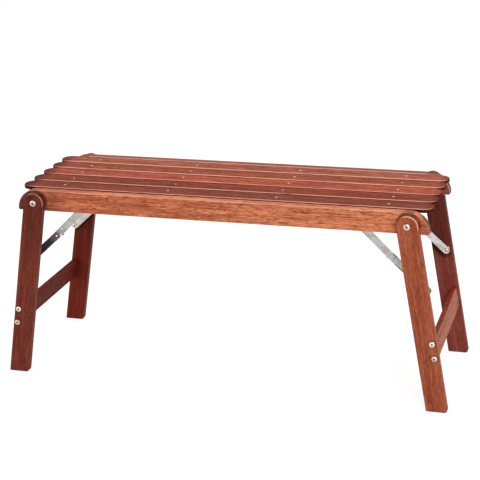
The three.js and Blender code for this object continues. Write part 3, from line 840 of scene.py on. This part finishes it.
stretcher_path = box_path(
    stretcher_across - STRETCHER_THICKNESS / 2, stretcher_across + STRETCHER_THICKNESS / 2,
    -STRETCHER_DROP - STRETCHER_WIDTH, -STRETCHER_DROP, STRETCHER_CORNER,
)
stretcher_reach = LEG_INNER - PIECE_GAP
leg_holes = [straight_hole(0, 0, PIVOT_BORE, LEG_INNER, LEG_OUTER)] + [
    straight_hole(stretcher_across, -along, STRETCHER_BORE, LEG_INNER, LEG_OUTER)
    for along in bolt_rows.values()
]
for end_name, end in ENDS.items():
    body = f"{end_name}_legs"
    # Painted shade in rings round the bolt heads
    bolt_shade_rings = [(x, z, 6.5 * MM, 9.5 * MM, 0.75) for x, z in bolt_spots(end)]
    for side_name, side in SIDES.items():
        corner = f"{end_name}_{side_name}"
        shell = board(leg_path(end), LEG_INNER, LEG_OUTER, LEG_EASE, leg_holes)
        shell.placed(leg_axes(end, side), leg_origin(end))
        seed = 20.3 + 1.7 * end + 0.6 * side
        # Painted highlight on the upper right of each leg's round top
        wood = oiled_wood(
            f"{corner}_leg_wood", leg_tones[corner], grain_along_leg(end), seed, streaks=0.75,
            dashes=0.36, worn_highlight=0.9, shade_and_stains=bolt_shade_rings + leg_painted_shade.get(corner, []),
            front_shadows=stay_shadows.get(corner, ()),
            highlight_spot=(end * PIVOT.x + 10 * MM, PIVOT.z + 12 * MM, 14 * MM, 28 * MM, 0.8),
        )
        shell.remade(f"{corner}_leg", body, "leg_wood", [wood])
    shell = board(stretcher_path, -stretcher_reach, stretcher_reach, STRETCHER_END_EASE)
    shell.placed(leg_axes(end, 1), leg_origin(end))
    wood = oiled_wood(
        f"{end_name}_stretcher_wood", stretcher_tones[end_name], GRAIN_ACROSS_SEAT, 27.2 + end,
        sheen=0.04, top_shade_shares=stretcher_top_shade_shares[end_name],
    )
    shell.remade(f"{end_name}_stretcher", body, "leg_wood", [wood])


# ---------------- turned pieces

def turned(rows, finish=0):
    """A form turned about w. A row is (radius, height) where the form is round, and otherwise
    (radius, height, shape), with radius * shape(t) at angle t."""
    angle = np.linspace(0, 2 * np.pi, TURNED_SIDES, endpoint=False)
    rings = []
    for radius, height, *shape in rows:
        reach = radius * (shape[0](angle) if shape else np.ones_like(angle))
        level = np.full_like(angle, height)
        rings.append(np.stack([reach * np.cos(angle), reach * np.sin(angle), level], 1))
    shell = Shell()
    shell.rings(rings, finish=finish)
    return shell


def hexagon(angle):
    """Radius of a hexagon with its corners at 1: cos 30 / cos of the angle to the nearest flat."""
    from_flat = np.mod(angle, math.pi / 3) - math.pi / 6
    return math.cos(math.pi / 6) / np.cos(from_flat)


def cross_recess(angle):
    """Radius of a four-armed recess: long on the axes and short between them."""
    return RECESS_WAIST + (1 - RECESS_WAIST) * np.abs(np.cos(2 * angle)) ** 3


def domed_bolt(shank, length, head, head_height, socket):
    """A button-head bolt: shank below w = 0, domed head above it with a hexagonal socket that is
    darkened as painted shade.

    The dome's radius is head * cos t and its height edge + rise * sin t / sin(end), for t from 0 to
    the turn at which the socket's rim begins.
    """
    rise = head_height - HEAD_EDGE
    end = math.acos(socket * SOCKET_RIM / head)
    rows = [
        (0, -length), (shank * (1 - TIP_CHAMFER), -length), (shank, -length + shank * TIP_CHAMFER),
        (shank, 0), (head * (1 - HEAD_CHAMFER), 0), (head, HEAD_CHAMFER * head),
    ]
    rows += [
        (head * math.cos(turn), HEAD_EDGE + rise * math.sin(turn) / math.sin(end))
        for turn in np.linspace(0, end, DOME_STEPS + 1)
    ]
    rim_row = (socket * SOCKET_LIP, head_height - SOCKET_LIP_DROP * socket)
    recess = [
        rim_row,
        (socket, head_height - SOCKET_START * socket, hexagon),
        (socket, head_height - SOCKET_DEPTH, hexagon),
        (0, head_height - SOCKET_DEPTH - SOCKET_POINT * socket),
    ]
    shell = turned([*rows, rim_row])
    shell.join(turned(recess, 1))
    return shell


def facing(side):
    """Axes of a turned piece whose head faces outwards on that side."""
    return ((1, 0, 0), (0, 0, -side), (0, side, 0))


def nut():
    """A hexagonal nut with chamfered corners and a bore that is chamfered on its upper face."""
    corner = NUT_FLATS / math.sqrt(3)
    mouth, face = PIVOT_BORE * (1 + BORE_CHAMFER), NUT_FLATS / 2 * NUT_FACE
    chamfer = corner * NUT_CHAMFER
    return turned([
        (PIVOT_BORE, 0), (mouth, 0), (face, 0), (corner, chamfer, hexagon),
        (corner, NUT_HEIGHT - chamfer, hexagon), (face, NUT_HEIGHT), (mouth, NUT_HEIGHT),
        (PIVOT_BORE, NUT_HEIGHT - PIVOT_BORE * BORE_CHAMFER), (PIVOT_BORE, 0),
    ])


slat_screw_rows = [
    (0, -SLAT_SCREW_LENGTH),
    (SLAT_SCREW_CORE, -SLAT_SCREW_LENGTH + SLAT_SCREW_TIP),
    (SLAT_SCREW_CORE, -(SLAT_SCREW_HEAD - SLAT_SCREW_SHANK)),
    (SLAT_SCREW_RIM, -SLAT_SCREW_EDGE),
    (SLAT_SCREW_FLAT, 0.0),
    SLAT_RECESS_RIM,
    (SLAT_RECESS_MOUTH, 0.0, cross_recess),
    (*SLAT_RECESS_FOOT, cross_recess),
    (0, -SLAT_RECESS_DEPTH),
]
for name in SLAT_NAMES:
    low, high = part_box(name)
    for number, x in enumerate(batten_middles, 1):
        spot = (x, (low.y + high.y) / 2, high.z - SLAT_SCREW_SINK)
        shell = turned(slat_screw_rows).placed(np.eye(3), spot)
        shell.piece(f"{name}_screw_{number}", "seat", "stay_fastener_steel", [screw_steel])

bolt_finishes = [bolt_steel, socket_shade_steel]
bolt_seat = LEG_OUTER + PIECE_GAP
pivot_length = bolt_seat - RAIL_INNER + PIECE_GAP + NUT_HEIGHT + BOLT_TIP
stretcher_bolt_length = bolt_seat - LEG_INNER + PIECE_GAP + STRETCHER_BOLT_REACH
nut_depth = RAIL_INNER - PIECE_GAP - NUT_HEIGHT
for end_name, corner, end, side in CORNERS:
    shell = domed_bolt(PIVOT_SHANK, pivot_length, PIVOT_HEAD, PIVOT_HEAD_HEIGHT, PIVOT_SOCKET)
    shell.placed(facing(side), (end * PIVOT.x, side * bolt_seat, PIVOT.z))
    shell.remade(f"{corner}_pivot_bolt", "seat", "bolt_steel", bolt_finishes)
    shell = nut().placed(facing(side), (end * PIVOT.x, side * nut_depth, PIVOT.z))
    shell.remade(f"{corner}_pivot_nut", "seat", "bolt_steel", [bolt_steel])
    for row_name, (x, z) in zip(bolt_rows, bolt_spots(end)[1:]):
        shell = domed_bolt(
            STRETCHER_SHANK, stretcher_bolt_length, STRETCHER_HEAD, STRETCHER_HEAD_HEIGHT,
            STRETCHER_SOCKET,
        )
        shell.placed(facing(side), (x, side * bolt_seat, z))
        name = f"{corner}_stretcher_bolt_{row_name}"
        shell.remade(name, f"{end_name}_legs", "bolt_steel", bolt_finishes)


# ---------------- stays

def link(path, outer, inner, holes, bead, bead_on, outer_finish=0):
    """A stay link: a flat strip with a soft edge and its holes, and one pressed bead.

    w is the depth. The bead rises by s * s * (3 - 2 * s) of its height, for s from 0 at its foot
    to 1, out of the outer face (bead_on 1) or the inner one (-1), and is hollow on the other face.
    """
    shell = Shell()
    flat = shell.wall(path, eased_edge(inner, outer, LINK_EASE, THIN_STEPS, THIN_MARGIN))
    rims = [circle_path(u, v, radius, HOLE_SIDES)[0] for u, v, radius in holes]
    levels = [np.full((HOLE_SIDES, 1), depth) for depth in (outer, inner)]
    for rim in rims:
        shell.rings([np.concatenate([rim, level], 1) for level in levels])
    share = np.linspace(0, 1, BEAD_STEPS + 1)
    rise = bead_on * BEAD_HEIGHT * share ** 2 * (3 - 2 * share)
    for base, loop, finish in ((outer, flat[-1], outer_finish), (inner, flat[0], 0)):
        ridge = shell.wall(bead, np.stack([BEAD_SLOPE * share, base + rise, 0 * share], 1), finish)
        shell.face(base + rise[-1], ridge[-1], finish=finish)
        shell.face(base, loop, [bead[0], *rims], finish=finish)
    return shell


def slope_between(first, second):
    return math.atan2(second.z - first.z, second.x - first.x)


# The back stays take the steel lightened as painted light
stay_steels = {
    "left_front": stay_knuckle_shade_steel, "right_front": stay_edge_spotted_steel,
    "left_back": stay_lit_steel, "right_back": stay_lit_steel,
}
upper_length = (KNUCKLE - STAY_TOP).length
lower_length = math.hypot(STAY_FOOT.x - KNUCKLE.x, STAY_FOOT.z - KNUCKLE.z)
upper_slope = slope_between(STAY_TOP, KNUCKLE)
lower_slope = slope_between(KNUCKLE, STAY_FOOT)
link_half = LINK_WIDTH / 2


def upper_link(pierced):
    """The upper link about its rail pivot, with a bead and a boss. A pierced one has a hole and a
    notch too."""
    reach, rise, radius = LINK_HOLE
    path = bar_path(0, upper_length, LINK_WIDTH)
    holes = [(0, 0, SPINDLE_BORE), (upper_length, 0, SPINDLE_BORE)]
    if pierced:
        notch = (upper_length - NOTCH_REACH, -NOTCH_DROP, NOTCH_RADIUS)
        path = notched_bar_path(0, upper_length, LINK_WIDTH, *notch)
        holes.append((upper_length - reach, rise, radius))
    bead = bar_path(BEAD_INSET, upper_length - BEAD_KNUCKLE_INSET, BEAD_WIDTH)
    shell = link(path, UPPER_OUTER, UPPER_INNER, holes, bead, 1)
    foot, top = UPPER_OUTER - LINK_EASE, RAIL_INNER - PIECE_GAP
    shell.join(turned([
        (SPINDLE_BORE, foot), (BOSS_RADIUS, foot), (BOSS_RADIUS, top - LINK_EASE),
        (BOSS_RADIUS - LINK_EASE, top), (SPINDLE_BORE, top), (SPINDLE_BORE, foot),
    ]))
    return shell


def lower_link(outer_finish, pierced):
    """The lower link about its knuckle, with a bead and a lip along its lower edge. A pierced one
    has a notch in its tail too."""
    lean = upper_slope - lower_slope
    notch_u = -NOTCH_REACH * math.cos(lean) + NOTCH_DROP * math.sin(lean)
    notch_v = -NOTCH_REACH * math.sin(lean) - NOTCH_DROP * math.cos(lean)
    path = bar_path(-TAIL_LENGTH, lower_length, LINK_WIDTH)
    if pierced:
        notch = (notch_u, notch_v, NOTCH_RADIUS)
        path = notched_bar_path(-TAIL_LENGTH, lower_length, LINK_WIDTH, *notch)
    bead = bar_path(BEAD_INSET, lower_length - BEAD_INSET, BEAD_WIDTH)
    holes = [(0, 0, SPINDLE_BORE), (lower_length, 0, SPINDLE_BORE)]
    shell = link(path, LOWER_OUTER, LOWER_INNER, holes, bead, -1, outer_finish)
    lip = box_path(LIP_START, lower_length, -link_half, -link_half + LIP_THICKNESS, LINK_EASE)
    low, high = LOWER_OUTER - LINK_EASE, LOWER_OUTER + LIP_HEIGHT
    shell.join(board(lip, low, high, LINK_EASE, margin=THIN_MARGIN))
    return shell


def stop_lug():
    """The lug on the lower link's tail, in line with the upper link: an angle drawn in v and w, and
    carried along u."""
    edge = -link_half - PIECE_GAP
    far = edge - LUG_THICKNESS
    near = LUG_THICKNESS - link_half
    corners = [
        (far, LOWER_INNER, LINK_EASE), (near, LOWER_INNER, 0), (near, LOWER_OUTER, 0),
        (edge, LOWER_OUTER, -LINK_EASE), (edge, UPPER_OUTER, LINK_EASE),
        (far, UPPER_OUTER, LINK_EASE),
    ]
    path = rounded_path(corners, THIN_STEPS)
    start = -LUG_START - LUG_LENGTH
    return board(path, start, -LUG_START, LINK_EASE / 2, margin=THIN_MARGIN)


def rivet_rows(shares, base):
    """Rows of a rivet's head that starts at the height base."""
    return [(RIVET_HEAD * across, base + RIVET_HEAD_HEIGHT * up) for across, up in shares]


def rivet(ring_finish):
    """A knuckle's rivet, with a plain head behind the links and a ringed button before them."""
    low, high = LOWER_INNER - PIECE_GAP, UPPER_OUTER + PIECE_GAP
    shaft = [(SPINDLE, low), (SPINDLE, high), (RIVET_HEAD, high)]
    shell = turned(rivet_rows(RIVET_BACK, low) + shaft)
    shell.join(turned(rivet_rows(RIVET_RING, high), ring_finish))
    shell.join(turned(rivet_rows(RIVET_BUTTON, high)))
    return shell


def spacer():
    """The tube that holds a lower link off its leg."""
    low, high = LOWER_OUTER + PIECE_GAP, LEG_INNER - PIECE_GAP
    face = SPACER_RADIUS - SPACER_EDGE
    return turned([
        (SPINDLE_BORE, low), (face, low), (SPACER_RADIUS, low + SPACER_EDGE),
        (SPACER_RADIUS, high - SPACER_EDGE), (face, high), (SPINDLE_BORE, high),
        (SPINDLE_BORE, low),
    ])


rail_tip, leg_tip = RAIL_INNER + RAIL_SCREW_REACH, LEG_INNER - PIECE_GAP
for _, corner, end, side in CORNERS:
    upper_body, lower_body = f"{corner}_stay_upper", f"{corner}_stay_lower"
    pierced = end < 0
    steel = stay_steels[corner]
    axes = tilted(end, side, upper_slope)
    shell = upper_link(pierced).placed(axes, (end * STAY_TOP.x, 0, STAY_TOP.z))
    shell.remade(f"{corner}_upper_link", upper_body, "stay_steel", [steel])

    along, across, outwards = axes
    knuckle_spot = (end * KNUCKLE.x, 0, KNUCKLE.z)
    # Only the front left lower link's outer face takes the steel darkened as painted shade
    shell = lower_link(int(corner == "left_front"), pierced)
    shell.placed(tilted(end, side, lower_slope), knuckle_spot)
    shell.join(stop_lug().placed((across, outwards, along), knuckle_spot))
    finishes = [steel, stay_painted_shade_steel]
    shell.remade(f"{corner}_lower_link", lower_body, "stay_steel", finishes)

    # On the left stays the rivet's ring takes the steel darkened as painted shade
    shell = rivet(int(pierced)).placed(upright(side), knuckle_spot)
    finishes = [rivet_steel, rivet_ring_shade_steel] if pierced else [steel]
    shell.remade(f"{corner}_knuckle_rivet", lower_body, "stay_fastener_steel", finishes)

    for name, spot, seat, tip, body in (
        (f"{corner}_rail_screw", STAY_TOP, UPPER_INNER - PIECE_GAP, rail_tip, "seat"),
        (f"{corner}_leg_screw", STAY_FOOT, LOWER_INNER - PIECE_GAP, leg_tip, lower_body),
    ):
        shell = domed_bolt(SPINDLE, tip - seat, STAY_HEAD, STAY_HEAD_HEIGHT, STAY_SOCKET)
        shell.placed(facing(-side), (end * spot.x, side * seat, spot.z))
        shell.remade(name, body, "stay_fastener_steel", bolt_finishes)

    shell = spacer().placed(upright(side), (end * STAY_FOOT.x, 0, STAY_FOOT.z))
    shell.remade(f"{corner}_spacer", lower_body, "stay_fastener_steel", [bolt_steel])


# ---------------- floor, light and camera

FLOOR_REACH = 12.0
FLOOR_COLOUR = (0.42, 0.42, 0.42, 1)
FLOOR_GLOW = 0.745
SKY_COLOUR = (1, 1, 1, 1)
SKY_LIGHT = 0.62
SKY_SEEN = 1.0


def cleared_tree(owner):
    owner.use_nodes = True
    owner.node_tree.nodes.clear()
    return owner.node_tree


def switched(tree, lighting, showing):
    """One shader for the light that a thing gives to others, and another for how it shows."""
    rays = add_node(tree, "ShaderNodeLightPath").outputs
    seen = rays["Is Camera Ray"]
    for kind in ("Is Glossy Ray", "Is Transmission Ray"):
        inputs = {0: seen, 1: rays[kind]}
        seen = add_node(tree, "ShaderNodeMath", inputs, operation="MAXIMUM").outputs[0]
    inputs = {0: seen, 1: lighting.outputs[0], 2: showing.outputs[0]}
    return add_node(tree, "ShaderNodeMixShader", inputs).outputs[0]


floor_mesh = bpy.data.meshes.new("floor")
corners = np.array([(-1, -1, 0), (1, -1, 0), (1, 1, 0), (-1, 1, 0)], float) * FLOOR_REACH
floor_mesh.from_pydata(corners.tolist(), [], [(0, 1, 2, 3)])
floor = add_object("floor", floor_mesh)
floor_material = bpy.data.materials.new("pale_floor")
tree = cleared_tree(floor_material)
diffuse = add_node(tree, "ShaderNodeBsdfDiffuse", {"Color": FLOOR_COLOUR})
none, glow = (
    add_node(tree, "ShaderNodeEmission", {"Strength": strength}) for strength in (0.0, FLOOR_GLOW)
)
inputs = {0: diffuse.outputs[0], 1: switched(tree, none, glow)}
both = add_node(tree, "ShaderNodeAddShader", inputs)
add_node(tree, "ShaderNodeOutputMaterial", {0: both.outputs[0]})
floor_mesh.materials.append(floor_material)

world = bpy.data.worlds.new("studio")
bpy.context.scene.world = world
tree = cleared_tree(world)
plain, white = (
    add_node(tree, "ShaderNodeBackground", {"Color": SKY_COLOUR, "Strength": strength})
    for strength in (SKY_LIGHT, SKY_SEEN)
)
add_node(tree, "ShaderNodeOutputWorld", {0: switched(tree, plain, white)})


def soft_light(name, place, aim, size, power):
    """A square area lamp at a place, turned to its aim."""
    lamp = bpy.data.lights.new(name, "AREA")
    lamp.size = size
    lamp.energy = power
    made = add_object(name, lamp)
    made.location = place
    made.rotation_euler = (Vector(aim) - Vector(place)).to_track_quat("-Z", "Y").to_euler()


soft_light("key_softbox", (1.8, -2.6, 1.9), (0.1, 0, 0.25), 1.4, 52)
soft_light("fill_softbox", (-2.6, -2.0, 1.4), (0, 0, 0.25), 2.0, 12)
soft_light("top_softbox", (0.2, 0.6, 2.6), (0, 0, 0.3), 1.6, 14)

CAMERA_PLACE = (856.154 * MM, -2790.265 * MM, 1281.46 * MM)
CAMERA_YAW = math.radians(16.936)
CAMERA_PITCH = math.radians(18.764)
CAMERA_ROLL = math.radians(-1.698)
CAMERA_LENS = 104.178
CAMERA_SENSOR = 36
back = Vector((
    math.sin(CAMERA_YAW) * math.cos(CAMERA_PITCH),
    -math.cos(CAMERA_YAW) * math.cos(CAMERA_PITCH),
    math.sin(CAMERA_PITCH),
))
level = Vector((math.cos(CAMERA_YAW), math.sin(CAMERA_YAW), 0))
above = back.cross(level)
right = math.cos(CAMERA_ROLL) * level + math.sin(CAMERA_ROLL) * above
above = -math.sin(CAMERA_ROLL) * level + math.cos(CAMERA_ROLL) * above
camera_data = bpy.data.cameras.new("photo_view")
camera_data.lens = CAMERA_LENS
camera_data.sensor_width = CAMERA_SENSOR
camera_data.sensor_fit = "HORIZONTAL"
camera = add_object("photo_view", camera_data)
turn = Matrix((right, above, back)).transposed().to_4x4()
camera.matrix_world = Matrix.Translation(CAMERA_PLACE) @ turn
bpy.context.scene.camera = camera
bpy.context.scene.view_settings.view_transform = "Standard"
